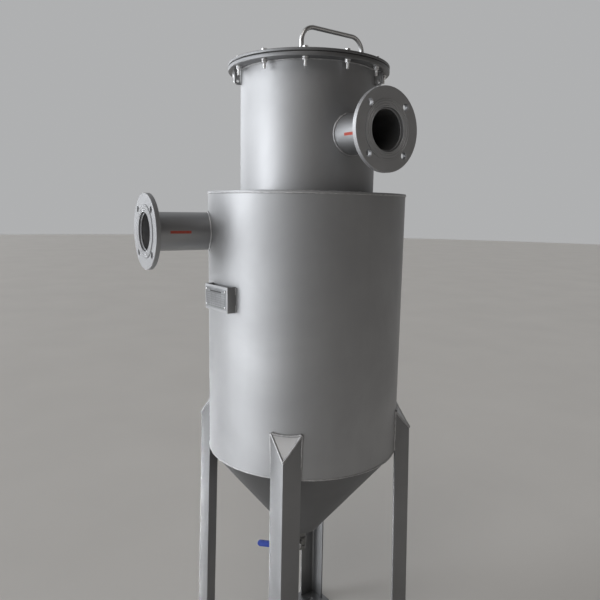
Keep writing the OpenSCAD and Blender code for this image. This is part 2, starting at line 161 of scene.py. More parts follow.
class Finish:
    """A principled material and the few node chains that the finishes share."""

    def __init__(self, name, colour, metallic, roughness):
        self.base = colour
        self.material = bpy.data.materials.new(name)
        self.material.use_nodes = True
        self.nodes = self.material.node_tree.nodes
        self.link = self.material.node_tree.links.new
        self.shader = self.nodes["Principled BSDF"]
        fill(self.shader, {"Base Color": (*colour, 1), "Metallic": metallic, "Roughness": roughness})
        self.place = self.nodes.new("ShaderNodeTexCoord").outputs["Object"]
        self.normal = None

    def mapped(self, scale=(1, 1, 1), place=None):
        """Object coordinates, stretched, or seen from a placed piece's own frame."""
        mapping = fill(self.nodes.new("ShaderNodeMapping"), {"Scale": scale})
        if place is not None:
            back = place.inverted()
            fill(mapping, {"Location": back.to_translation(), "Rotation": back.to_euler()})
        self.link(self.place, mapping.inputs["Vector"])
        return mapping.outputs["Vector"]

    def cloud(self, scale, detail, stretch=(1, 1, 1), distortion=0.0):
        """Soft noise, as a factor; scale is in patches per metre."""
        texture = self.nodes.new("ShaderNodeTexNoise")
        fill(texture, {"Scale": scale, "Detail": detail, "Distortion": distortion})
        self.link(self.mapped(stretch), texture.inputs["Vector"])
        return texture.outputs["Fac"]

    def ranged(self, factor, low, high, start=0.3, end=0.7):
        """The factor's middle stretch, spread from low to high."""
        spread = self.nodes.new("ShaderNodeMapRange")
        fill(spread, {"From Min": start, "From Max": end, "To Min": low, "To Max": high})
        self.link(factor, spread.inputs["Value"])
        return spread.outputs["Result"]

    def mixed(self, factor, first, second):
        """A colour between two, each a colour or another mix."""
        mix = self.nodes.new("ShaderNodeMix")
        mix.data_type = "RGBA"
        self.link(factor, mix.inputs["Factor"])
        for colour, socket in ((first, mix.inputs["A"]), (second, mix.inputs["B"])):
            if isinstance(colour, bpy.types.NodeSocket):
                self.link(colour, socket)
            else:
                socket.default_value = (*colour, 1)
        return mix.outputs["Result"]

    def toned(self, factor, low, high):
        """The base colour, its share going from low to high with the factor."""
        return self.mixed(self.ranged(factor, 0, 1), shade(self.base, low), shade(self.base, high))

    def colour(self, socket):
        self.link(socket, self.shader.inputs["Base Color"])

    def roughness(self, factor, low, high):
        """A roughness that goes from low to high with the factor."""
        self.link(self.ranged(factor, low, high), self.shader.inputs["Roughness"])

    def bump(self, height, distance, strength):
        """Adds a relief, its full height given in metres."""
        relief = fill(self.nodes.new("ShaderNodeBump"), {"Distance": distance, "Strength": strength})
        self.link(height, relief.inputs["Height"])
        if self.normal is not None:
            self.link(self.normal, relief.inputs["Normal"])
        self.normal = relief.outputs["Normal"]
        self.link(self.normal, self.shader.inputs["Normal"])


def blasted_steel(name, colour, roughness, mottle):
    """Bead-blasted stainless: a fine even grain, faint clouds and long soft streaks."""
    finish = Finish(name, colour, 1.0, roughness)
    clouds = finish.cloud(3.1, 5, distortion=0.4)
    streaks = finish.cloud(16, 3, stretch=(1, 1, 0.12))
    base = finish.toned(clouds, 1 - mottle, 1 + mottle)
    finish.colour(finish.mixed(finish.ranged(streaks, 0, 0.35), base, shade(colour, 0.86)))
    finish.roughness(clouds, roughness + 0.045, roughness - 0.045)
    finish.bump(finish.cloud(620, 2), 0.00016, 0.55)
    finish.bump(finish.cloud(7, 2), 0.0035, 0.13)
    return finish.material


def turned_steel(name, colour, place):
    """Machined flange face: fine rings about the port's axis over a blasted ground."""
    finish = Finish(name, colour, 1.0, 0.52)
    rings = finish.nodes.new("ShaderNodeTexWave")
    rings.wave_type = "RINGS"
    rings.rings_direction = "Z"
    fill(rings, {"Scale": 260, "Distortion": 0.4, "Detail": 1})
    finish.link(finish.mapped(place=place), rings.inputs["Vector"])
    clouds = finish.cloud(9, 4)
    finish.colour(finish.toned(clouds, 0.93, 1.08))
    finish.roughness(clouds, 0.60, 0.52)
    finish.bump(rings.outputs["Fac"], 0.00012, 0.2)
    finish.bump(finish.cloud(700, 2), 0.00012, 0.2)
    return finish.material


def bright_steel(name, colour, roughness):
    """Drawn and rolled bright steel, with fine handling scratches."""
    finish = Finish(name, colour, 1.0, roughness)
    smears = finish.cloud(60, 4)
    finish.colour(finish.toned(smears, 0.9, 1))
    finish.roughness(smears, roughness - 0.05, roughness + 0.06)
    finish.bump(finish.cloud(900, 2, stretch=(1, 1, 0.05)), 0.00004, 0.4)
    return finish.material


def weld_metal(name, colour):
    """Weld bead metal: shinier than the plate, with spots of scale."""
    finish = Finish(name, colour, 1.0, 0.42)
    spots = finish.cloud(90, 3)
    finish.colour(finish.toned(spots, 0.80, 1.12))
    finish.roughness(spots, 0.36, 0.50)
    finish.bump(finish.cloud(520, 3), 0.0002, 0.4)
    return finish.material


def cast_steel(name, colour):
    """Investment-cast valve body: a pebbled satin skin, darker in its hollows as painted shade."""
    finish = Finish(name, colour, 1.0, 0.42)
    skin = finish.cloud(420, 4)
    # The relief's low spots take the darker colour: painted shade in the hollows
    finish.colour(finish.toned(skin, 0.8, 1.1))
    finish.roughness(skin, 0.5, 0.36)
    finish.bump(skin, 0.0003, 0.6)
    return finish.material


def gasket_rubber(name, colour):
    """Dull black rubber with a dusty, uneven edge."""
    finish = Finish(name, colour, 0.0, 0.72)
    dust = finish.cloud(45, 5)
    finish.colour(finish.mixed(finish.ranged(dust, 0, 0.5), colour, (0.05, 0.048, 0.045)))
    finish.roughness(dust, 0.66, 0.85)
    finish.bump(finish.cloud(500, 3), 0.0002, 0.5)
    return finish.material


def dipped_vinyl(name, colour):
    """Glossy dipped vinyl with shallow ripples and rubbed patches."""
    finish = Finish(name, colour, 0.0, 0.3)
    fill(finish.shader, {"Specular IOR Level": 0.55, "Coat Weight": 0.9, "Coat Roughness": 0.12})
    rub = finish.cloud(85, 4)
    finish.colour(finish.mixed(finish.ranged(rub, 0, 0.6), colour, shade(colour, 1.6)))
    finish.roughness(rub, 0.26, 0.42)
    finish.bump(finish.cloud(130, 2), 0.0006, 0.35)
    return finish.material


def etched_plate(name, colour):
    """Thin satin plate with a level brushed grain."""
    finish = Finish(name, colour, 1.0, 0.50)
    grain = finish.cloud(1400, 3, stretch=(0.04, 0.04, 1))
    finish.colour(finish.toned(finish.cloud(40, 3), 0.88, 1.1))
    finish.roughness(grain, 0.44, 0.56)
    finish.bump(grain, 0.00005, 0.5)
    return finish.material


def dull_paint(name, colour, wear):
    """Thin worn paint or etching ink, patchy where it has rubbed."""
    finish = Finish(name, colour, 0.0, 0.55)
    patches = finish.cloud(260, 4)
    worn = finish.ranged(patches, 0, wear, 0.45, 0.75)
    finish.colour(finish.mixed(worn, colour, (0.42, 0.40, 0.39)))
    finish.roughness(patches, 0.48, 0.66)
    finish.bump(patches, 0.0001, 0.4)
    return finish.material


def studio_floor(name, colour):
    """Plain pale floor with a barely visible unevenness."""
    finish = Finish(name, colour, 0.0, 0.8)
    finish.colour(finish.toned(finish.cloud(1.3, 4), 0.97, 1.02))
    finish.bump(finish.cloud(30, 3), 0.001, 0.15)
    return finish.material


FINISHES = {}


# Mesh work


def mesh_of(name, shape):
    """A mesh made from a bmesh, which is freed."""
    mesh = bpy.data.meshes.new(name)
    shape.to_mesh(mesh)
    shape.free()
    return mesh


def shape_of(mesh):
    """A bmesh made from a mesh, which is removed."""
    shape = bmesh.new()
    shape.from_mesh(mesh)
    bpy.data.meshes.remove(mesh)
    return shape


def in_scene(name, data):
    """A new object in the scene."""
    made = bpy.data.objects.new(name, data)
    bpy.context.scene.collection.objects.link(made)
    return made


def turning(shape, degrees):
    """The edges at which a surface turns by more than the angle."""
    limit = math.radians(degrees)
    shared = [edge for edge in shape.edges if len(edge.link_faces) == 2]
    return [edge for edge in shared if edge.calc_face_angle(0) > limit]


def rim(edges):
    """Those of the edges that have a face on one side only."""
    return [edge for edge in edges if edge.is_boundary]


def add_piece(name, shape, slot, body=VESSEL, replaced=(), finish=None, sharp=30):
    """Turns a bmesh, in place in the frame, into a shown piece that rides on a body."""
    for face in shape.faces:
        face.smooth = True
    for edge in turning(shape, sharp):
        edge.smooth = False
    mesh = mesh_of(name, shape)
    mesh.materials.append(FINISHES[finish or slot])
    piece = in_scene(name, mesh)
    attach(piece, body)
    if replaced:
        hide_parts(*replaced)


def put(shape, part, place=Matrix()):
    """Adds a part to a shape at a place, and frees the part."""
    mesh = mesh_of("part", part)
    mesh.transform(place)
    if place.determinant() < 0:
        mesh.flip_normals()
    shape.from_mesh(mesh)
    bpy.data.meshes.remove(mesh)


def put_at(place, part):
    """The part alone, moved to a place."""
    shape = bmesh.new()
    put(shape, part, place)
    return shape


def fresh(made, kind):
    """What a bmesh operator made, of one kind."""
    return [item for item in made["geom"] if isinstance(item, kind)]


def closed_up(shape):
    """Merges doubled vertices and turns the faces outwards."""
    bmesh.ops.remove_doubles(shape, verts=shape.verts, dist=1e-6)
    bmesh.ops.recalc_face_normals(shape, faces=shape.faces)
    return shape


def bevel(shape, edges, width, segments):
    """Rounds the edges given."""
    bmesh.ops.bevel(
        shape, geom=edges, offset=width, offset_type="OFFSET", segments=segments, profile=0.5,
        affect="EDGES", clamp_overlap=True, material=-1,
    )
    return shape


def bevel_sharp(shape, width, segments=2, degrees=35):
    """Rounds every edge that turns by more than the angle."""
    return bevel(shape, turning(shape, degrees), width, segments)


def lathe(outline, steps, ring=True):
    """Spins a cross-section of (radius, height) points round Z; a ring's outline is closed."""
    shape = bmesh.new()
    points = [shape.verts.new((radius, 0, height)) for radius, height in outline]
    ends = points[1:] + points[:1] if ring else points[1:]
    edges = [shape.edges.new(pair) for pair in zip(points, ends)]
    bmesh.ops.spin(
        shape, geom=points + edges, cent=(0, 0, 0), axis=(0, 0, 1), angle=math.tau, steps=steps,
        use_merge=True, use_duplicate=False,
    )
    return closed_up(shape)


def hexagon(width, height, bore=0.0, both=False, steps=48):
    """A bolt head or nut, chamfered at 30 degrees on top, or on both ends, with an open bore."""
    shape = bmesh.new()
    crown = 0.475 * width
    sixth = math.pi / 3

    def flats(turn):
        return width / 2 / math.cos(turn % sixth - sixth / 2)

    def drop(reach):
        return (reach - crown) * math.tan(math.radians(30))

    def ring(edges, reach_at, level_at):
        """Extrudes open edges to a new ring, and returns the ring's edges."""
        made = bmesh.ops.extrude_edge_only(shape, edges=edges)
        for point in fresh(made, bmesh.types.BMVert):
            turn = math.atan2(point.co.y, point.co.x)
            reach = reach_at(turn)
            point.co = (reach * math.cos(turn), reach * math.sin(turn), level_at(reach))
        return rim(fresh(made, bmesh.types.BMEdge))

    points = bmesh.ops.create_circle(shape, segments=steps, radius=crown)["verts"]
    bmesh.ops.translate(shape, vec=(0, 0, height), verts=points)
    top = list(shape.edges)
    bottom = ring(top, flats, lambda reach: height - drop(reach))
    bottom = ring(bottom, flats, drop if both else lambda reach: 0)
    if both:
        bottom = ring(bottom, lambda turn: crown, lambda reach: 0)
    if bore:
        inner = ring(top, lambda turn: bore, lambda reach: height)
        inner += ring(bottom, lambda turn: bore, lambda reach: 0)
        bmesh.ops.bridge_loops(shape, edges=inner)
    else:
        bmesh.ops.edgeloop_fill(shape, edges=top)
        bmesh.ops.edgeloop_fill(shape, edges=bottom)
    return closed_up(shape)


def slab(outline, thickness):
    """A flat outline of (x, y) points, extruded up along Z."""
    shape = bmesh.new()
    face = shape.faces.new([shape.verts.new((x, y, 0)) for x, y in outline])
    made = bmesh.ops.extrude_face_region(shape, geom=[face])
    bmesh.ops.translate(shape, vec=(0, 0, thickness), verts=fresh(made, bmesh.types.BMVert))
    bmesh.ops.recalc_face_normals(shape, faces=shape.faces)
    return shape


def stadium(half_width, low, high, steps):
    """The outline of a strap with round ends, from low to high along Y."""
    points = []
    for centre, start in ((high - half_width, 0.0), (low + half_width, math.pi)):
        for step in range(steps + 1):
            turn = start + math.pi * step / steps
            points.append((half_width * math.cos(turn), centre + half_width * math.sin(turn)))
    return points


def upright(shape):
    """The edges of a shape that run along its Z."""
    ways = ((edge, edge.verts[0].co - edge.verts[1].co) for edge in shape.edges)
    return [edge for edge, way in ways if abs(way.normalized().z) > 0.99]


def merged_copy(node):
    """A node's mesh as clean flat faces, to be rounded at its edges."""
    shape = bmesh.new()
    shape.from_mesh(frame["nodes"][node].data)
    bmesh.ops.remove_doubles(shape, verts=shape.verts, dist=2e-6)
    bmesh.ops.dissolve_limit(
        shape, angle_limit=math.radians(1), verts=shape.verts, edges=shape.edges,
        use_dissolve_boundaries=False,
    )
    return shape


def applied(piece):
    """The mesh of an object, its modifiers and bevel applied."""
    bpy.context.view_layer.update()
    graph = bpy.context.evaluated_depsgraph_get()
    return bpy.data.meshes.new_from_object(piece.evaluated_get(graph))


def carved(shape, cutter):
    """A shape with a cutter taken out of it."""
    body = in_scene("body", mesh_of("body", shape))
    tool = in_scene("cutter", mesh_of("cutter", cutter))
    cut = body.modifiers.new("cut", "BOOLEAN")
    cut.operation = "DIFFERENCE"
    cut.solver = "EXACT"
    cut.object = tool
    result = shape_of(applied(body))
    for piece in (body, tool):
        data = piece.data
        bpy.data.objects.remove(piece)
        bpy.data.meshes.remove(data)
    return result


# Places


def local_box(node, place):
    """Lowest and highest corner of a node in the frame that a place leads to."""
    back = place.inverted()
    points = [back @ vertex.co for vertex in frame["nodes"][node].data.vertices]
    low = Vector([min(point[axis] for point in points) for axis in range(3)])
    high = Vector([max(point[axis] for point in points) for axis in range(3)])
    return low, high


def mount_place(name):
    """A mount's frame: its point, Z along its axis and Y as upright as can be."""
    mount = MOUNTS[name]
    turn = Vector(mount["axis"]).to_track_quat("Z", "Y")
    return Matrix.Translation(mount["pos_m"]) @ turn.to_matrix().to_4x4()


def valve_place():
    """The valve's frame: X out along the stem, Z up and the lever along -Y."""
    turn = Vector(JOINT["axis"]).to_track_quat("X", "Z")
    return Matrix.Translation(JOINT["pos_m"]) @ turn.to_matrix().to_4x4()


def lying(place):
    """A place whose Z is turned to lie along the old X."""
    return place @ Matrix.Rotation(math.pi / 2, 4, "Y")


def plate_place():
    """The name plate's frame: X out of the plate, Z up, at its centre."""
    low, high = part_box("name_plate")
    centre = (low + high) / 2
    faces = frame["nodes"]["name_plate"].data.polygons
    normals = [(face.normal, face.area) for face in faces if abs(face.normal.z) < 0.1]
    out = max(normals, key=lambda pair: (round(pair[1], 6), pair[0].dot(centre)))[0]
    if out.dot(centre) < 0:
        out = -out
    turn = out.to_track_quat("X", "Z")
    return Matrix.Translation(centre) @ turn.to_matrix().to_4x4()


def radius_of(node):
    """Half of a round node's width."""
    low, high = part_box(node)
    return (high.x - low.x) / 2


# Weld beads


def arc(radius, height, start=0.0, end=math.tau):
    """Points about a millimetre apart along an arc round the vessel's axis."""
    count = max(4, round(radius * abs(end - start) / MM))
    full = abs(end - start) > math.tau - 1e-6
    share = (end - start) / (count if full else count - 1)
    turns = [start + index * share for index in range(count)]
    return [Vector((radius * math.cos(turn), radius * math.sin(turn), height)) for turn in turns]


def run(start, end):
    """Points about a millimetre apart along a straight run."""
    start, end = Vector(start), Vector(end)
    count = max(3, round((end - start).length / MM))
    return [start.lerp(end, index / (count - 1)) for index in range(count)]


def moved(points, place):
    return [place @ point for point in points]


def on_shell(point, axis, radius, side):
    """Where a level line through a point enters an upright shell (side -1) or leaves it (1)."""
    along = point.x * axis.x + point.y * axis.y
    apart = point.x**2 + point.y**2 - radius**2
    return point + axis * (side * math.sqrt(along**2 - apart) - along)


def saddle(place, radius, shell_radius):
    """The line where a pipe of that radius meets an upright shell."""
    axis = (place.to_3x3() @ Vector((0, 0, 1))).normalized()
    return [on_shell(point, axis, shell_radius, 1) for point in moved(arc(radius, 0.0), place)]


def bead(points, radius, ripple, looped, seed):
    """A weld bead along points, its size rippling as the pool froze."""
    curve = bpy.data.curves.new("bead", "CURVE")
    curve.dimensions = "3D"
    curve.bevel_depth = radius
    curve.bevel_resolution = 2
    curve.use_fill_caps = not looped
    spline = curve.splines.new("POLY")
    spline.points.add(len(points) - 1)
    spline.use_cyclic_u = looped
    ends = (points[0], points[-1])
    travelled = 0.0
    for index, point in enumerate(points):
        if index:
            travelled += (point - points[index - 1]).length
        swell = 0.13 * math.cos(math.tau * travelled / ripple)
        wander = 0.30 * noise.noise(point * 90 + Vector((seed, 0, 0)))
        # An open run starts and stops in a fatter crater
        to_end = min((point - end).length for end in ends)
        crater = 0.0 if looped else 0.35 * math.exp(-to_end / radius / 2)
        spline.points[index].co = (*point, 1)
        spline.points[index].radius = 1 + swell + wander + crater
    holder = in_scene("bead", curve)
    shape = shape_of(applied(holder))
    bpy.data.objects.remove(holder)
    bpy.data.curves.remove(curve)
    return closed_up(shape)


def weld_piece(name, lines, radius, ripple, finish="weld_metal"):
    """One piece of weld beads, from (points, looped) lines."""
    shape = bmesh.new()
    for index, (points, looped) in enumerate(lines):
        put(shape, bead(points, radius, ripple, looped, 7.3 * index))
    add_piece(name, shape, "bright_stainless", finish=finish, sharp=80)


class CyclonePiece:
    """What the operators share."""

    bl_options = {"REGISTER", "UNDO"}

    @property
    def sizes(self):
        return bpy.context.scene.cyclone_sizes

    @property
    def colours(self):
        return bpy.context.scene.cyclone_colours


class CYCLONE_OT_finishes(CyclonePiece, bpy.types.Operator):
    """Make the finishes and give each shown node of the frame its own"""

    bl_idname = "cyclone.finishes"
    bl_label = "Finishes"

    # The blasted steels: share of the steel's colour, roughness and mottle. The legs', cone's and rims'
    # shares under 1 are painted shade; the caps' 1.38 is painted light.
    blasted = {
        "blasted_stainless": (1.0, 0.55, 0.10),
        "leg_steel": (0.70, 0.50, 0.10),
        "cone_steel": (0.47, 0.54, 0.10),
        "cap_steel": (1.38, 0.55, 0.08),
        "rim_steel": (0.62, 0.50, 0.08),
        "pipe_steel": (1.02, 0.46, 0.06),
    }
    # The bright steels: share of the bright colour and roughness. The bolts' share over 1 is a painted
    # highlight.
    bright = {"bright_stainless": (1.0, 0.21), "rod_steel": (0.95, 0.33), "bolt_steel": (1.2, 0.38)}
    # Nodes that are shown as they are but don't wear their slot's finish
    special = {
        # The cone wears a darker copy of the steel: painted shade
        "cone": "cone_steel",
        "inlet_pipe": "pipe_steel",
        "outlet_pipe": "pipe_steel",
        "cover_handle": "rod_steel",
    }

    def execute(self, context):
        colours = self.colours
        for name, (share, roughness, mottle) in self.blasted.items():
            FINISHES[name] = blasted_steel(name, shade(colours.steel, share), roughness, mottle)
        for name, (share, roughness) in self.bright.items():
            FINISHES[name] = bright_steel(name, shade(colours.bright, share), roughness)
        for name, make, colour in (
            ("weld_metal", weld_metal, colours.weld),
            ("valve_stainless", cast_steel, colours.casting),
            ("gasket_rubber", gasket_rubber, colours.rubber),
            ("blue_vinyl", dipped_vinyl, colours.vinyl),
            ("plate_metal", etched_plate, colours.plate),
        ):
            FINISHES[name] = make(name, tuple(colour))
        for name, colour, wear in (("etched_ink", colours.ink, 0.15), ("red_paint", colours.mark, 0.3)):
            FINISHES[name] = dull_paint(name, tuple(colour), wear)
        for part in frame["record"]["subparts"]:
            materials = frame["nodes"][part["node"]].data.materials
            materials.clear()
            materials.append(FINISHES[self.special.get(part["node"], part["material_slot"])])
        return {"FINISHED"}


class CYCLONE_OT_rims(CyclonePiece, bpy.types.Operator):
    """Build the shoulder plate, body flange, gasket and cover with their edges broken"""

    bl_idname = "cyclone.rims"
    bl_label = "Shoulder, body flange and cover"

    # Sides of the two wide rings
    steps = 192

    def execute(self, context):
        self.shoulder()
        for node, name in (("body_flange", "body_flange_ring"), ("cover", "cover_disc")):
            shape = bevel_sharp(merged_copy(node), 0.35 * MM, 2, 30)
            # The body flange and cover wear a darker copy of the steel: painted shade
            add_piece(name, shape, "blasted_stainless", replaced=[node], finish="rim_steel")
        self.gasket()
        return {"FINISHED"}

    def shoulder(self):
        """A ring whose ground edge wavers by a third of a millimetre."""
        low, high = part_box("shoulder_plate")
        outer = radius_of("shoulder_plate")
        inner = radius_of("upper_shell") - 6 * MM
        waver = 0.35 * MM
        plate = lathe([(inner, low.z), (outer, low.z), (outer, high.z), (inner, high.z)], self.steps)
        bevel_sharp(plate, 1.1 * MM, 3)
        for point in plate.verts:
            if point.co.xy.length > outer - 2 * MM:
                point.co.xy *= 1 + waver * (noise.noise(point.co * 9) - 1) / outer
        add_piece("shoulder_ring", plate, "blasted_stainless", replaced=["shoulder_plate"])

    def gasket(self):
        """A ring whose edge bulges and wavers where the rims squeeze it."""
        low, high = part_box("cover_gasket")
        outer = radius_of("cover_gasket")
        inner = radius_of("upper_shell")
        bulge = 0.5 * MM
        near_low, near_high = low.lerp(high, 0.3).z, low.lerp(high, 0.7).z
        outline = [(inner, low.z), (outer - bulge, low.z), (outer, near_low)]
        outline += [(outer, near_high), (outer - bulge, high.z), (inner, high.z)]
        ring = lathe(outline, self.steps)
        for point in ring.verts:
            if point.co.xy.length > outer - bulge:
                point.co.xy *= 1 + bulge * (noise.noise(point.co * 14) - 0.6) / outer
        add_piece("gasket_ring", ring, "gasket_rubber", replaced=["cover_gasket"])


class CYCLONE_OT_fastenings(CyclonePiece, bpy.types.Operator):
    """Build the cover's hexagon bolts with turned threads, their washers and nuts"""

    bl_idname = "cyclone.fastenings"
    bl_label = "Cover bolts"

    def execute(self, context):
        sizes = self.sizes
        thread_r = sizes.bolt_thread / 2
        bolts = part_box("cover_bolts")
        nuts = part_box("cover_nuts")
        cover_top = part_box("cover")[1].z
        washer_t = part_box("body_flange")[0].z - nuts[1].z
        width = 1.6 * sizes.bolt_thread
        head_z = cover_top + washer_t
        break_edge = 0.25 * MM
        shank = self.shank(thread_r, bolts[0].z, nuts[0].z + sizes.thread_pitch, head_z)
        head = bevel_sharp(hexagon(width, bolts[1].z - head_z, steps=36), break_edge, 1, 50)
        nut = hexagon(width, nuts[1].z - nuts[0].z, thread_r, True, 36)
        bevel_sharp(nut, break_edge, 1, 50)
        inner, outer = thread_r + 0.3 * MM, 2 * thread_r
        washer = lathe([(inner, 0), (outer, 0), (outer, washer_t), (inner, washer_t)], 40)
        bevel_sharp(washer, 0.3 * MM, 2)
        bolt_shape, washer_shape, nut_shape = bmesh.new(), bmesh.new(), bmesh.new()
        for index in range(sizes.bolt_count):
            turn = Matrix.Rotation(sizes.bolt_turn + index * math.tau / sizes.bolt_count, 4, "Z")
            place = turn @ Matrix.Translation((sizes.bolt_circle / 2, 0, 0))
            # Each bolt was tightened to a different angle
            turned = place @ Matrix.Rotation(0.7 * index, 4, "Z")
            put(bolt_shape, shank.copy(), place)
            put(bolt_shape, head.copy(), turned @ Matrix.Translation((0, 0, head_z)))
            put(nut_shape, nut.copy(), turned @ Matrix.Translation((0, 0, nuts[0].z)))
            for level in (cover_top, nuts[1].z):
                put(washer_shape, washer.copy(), place @ Matrix.Translation((0, 0, level)))
        for part in (shank, head, nut, washer):
            part.free()
        for name, shape, node in (
            ("hexagon_bolts", bolt_shape, "cover_bolts"),
            ("hexagon_nuts", nut_shape, "cover_nuts"),
            ("plain_washers", washer_shape, "cover_washers"),
        ):
            # Bolts, nuts and washers wear a paler copy of the bright steel: a painted highlight
            add_piece(name, shape, "bright_stainless", replaced=[node], finish="bolt_steel")
        return {"FINISHED"}

    def shank(self, radius, tail_z, thread_end, head_z):
        """A bolt's shank, with thread grooves from its tail up into the nut."""
        pitch = self.sizes.thread_pitch
        groove = 0.45 * pitch
        profile = [(0, tail_z), (radius - 1.2 * groove, tail_z)]
        level = tail_z + 0.6 * pitch
        while level < thread_end:
            profile += [(radius, level), (radius - groove, level + pitch / 2)]
            level += pitch
        profile += [(radius, level), (radius, head_z), (0, head_z)]
        return lathe(profile, 20, False)


class CYCLONE_OT_pipe_flanges(CyclonePiece, bpy.types.Operator):
    """Build the two plate flanges with sealing grooves and chamfered bolt holes"""

    bl_idname = "cyclone.pipe_flanges"
    bl_label = "Pipe flanges"

    def execute(self, context):
        # Each flange's share of the steel's colour is painted light: the outlet paler, the inlet a little
        # darker
        for port, share in (("inlet", 0.97), ("outlet", 1.14)):
            self.flange(port, share)
        return {"FINISHED"}

    def flange(self, port, share):
        """One flange, its finish a share of the steel's colour that sets the face's tone as painted
        light.
        """
        sizes = self.sizes
        place = mount_place(port + "_bolts")
        pattern = MOUNTS[port + "_bolts"]["dims"]
        low, high = local_box(port + "_flange", place)
        outer = high.y
        face = sizes.raised_face / 2
        bore = local_box(port + "_pipe", place)[1].y + 0.3 * MM
        lip = 0.8 * MM
        groove_w = 1.0 * MM
        dip = 0.5 * MM
        outline = [(bore, low.z), (outer - lip, low.z), (outer, low.z + lip)]
        outline += [(outer, -lip), (outer - lip, 0)]
        # The turning tool left a shallow dip outside the raised face
        outline += [(face + 1.2 * MM, 0), (face + 0.8 * MM, -dip), (face, -dip)]
        outline += [(face, high.z - 0.3 * MM), (face - 0.3 * MM, high.z)]
        for part in (0.80, 0.48, 0.19):
            middle = bore + part * (face - bore)
            outline += [(middle + groove_w, high.z), (middle, high.z - sizes.groove_depth)]
            outline += [(middle - groove_w, high.z)]
        outline += [(bore + lip, high.z), (bore, high.z - lip)]
        disc = lathe(outline, 144)
        hole = pattern["hole_r_mm"] * MM
        flare = 0.9 * MM
        wide = hole + flare + MM
        outline = [(0, low.z - MM), (wide, low.z - MM), (hole, low.z + flare)]
        outline += [(hole, -flare), (wide, MM), (0, MM)]
        pin = lathe(outline, 48, False)
        cutter = bmesh.new()
        for index in range(pattern["count"]):
            turn = Matrix.Rotation((index + 0.5) * math.tau / pattern["count"], 4, "Z")
            put(cutter, pin.copy(), turn @ Matrix.Translation((pattern["pcd_mm"] * MM / 2, 0, 0)))
        pin.free()
        shape = carved(disc, cutter)
        bmesh.ops.transform(shape, matrix=place, verts=shape.verts)
        finish = port + "_turned_steel_painted_light"
        FINISHES[finish] = turned_steel(finish, shade(self.colours.steel, share), place)
        add_piece(
            port + "_plate_flange", shape, "blasted_stainless", replaced=[port + "_flange"],
            finish=finish, sharp=25,
        )


class CYCLONE_OT_legs(CyclonePiece, bpy.types.Operator):
    """Build the angle-iron legs, their slanted caps, the foot plates and the lifting lugs"""

    bl_idname = "cyclone.legs"
    bl_label = "Legs, feet and lugs"

    def execute(self, context):
        pieces = [
            (node + corner, name + corner, width, finish)
            for corner in CORNERS
            for node, name, width, finish in (
                # The legs and feet wear a darker copy of the steel: painted shade
                ("leg_", "angle_leg_", 0.9 * MM, "leg_steel"),
                # The caps wear a paler copy of the steel: painted light
                ("leg_cap_", "cap_plate_", 0.5 * MM, "cap_steel"),
                ("foot_", "foot_plate_", 0.8 * MM, "leg_steel"),
            )
        ]
        for side in ("right", "left"):
            pieces.append(("lifting_lug_" + side, "lug_plate_" + side, 0.6 * MM, "pipe_steel"))
        for node, name, width, finish in pieces:
            shape = bevel_sharp(merged_copy(node), width, 2, 32)
            add_piece(name, shape, "blasted_stainless", replaced=[node], finish=finish)
        return {"FINISHED"}


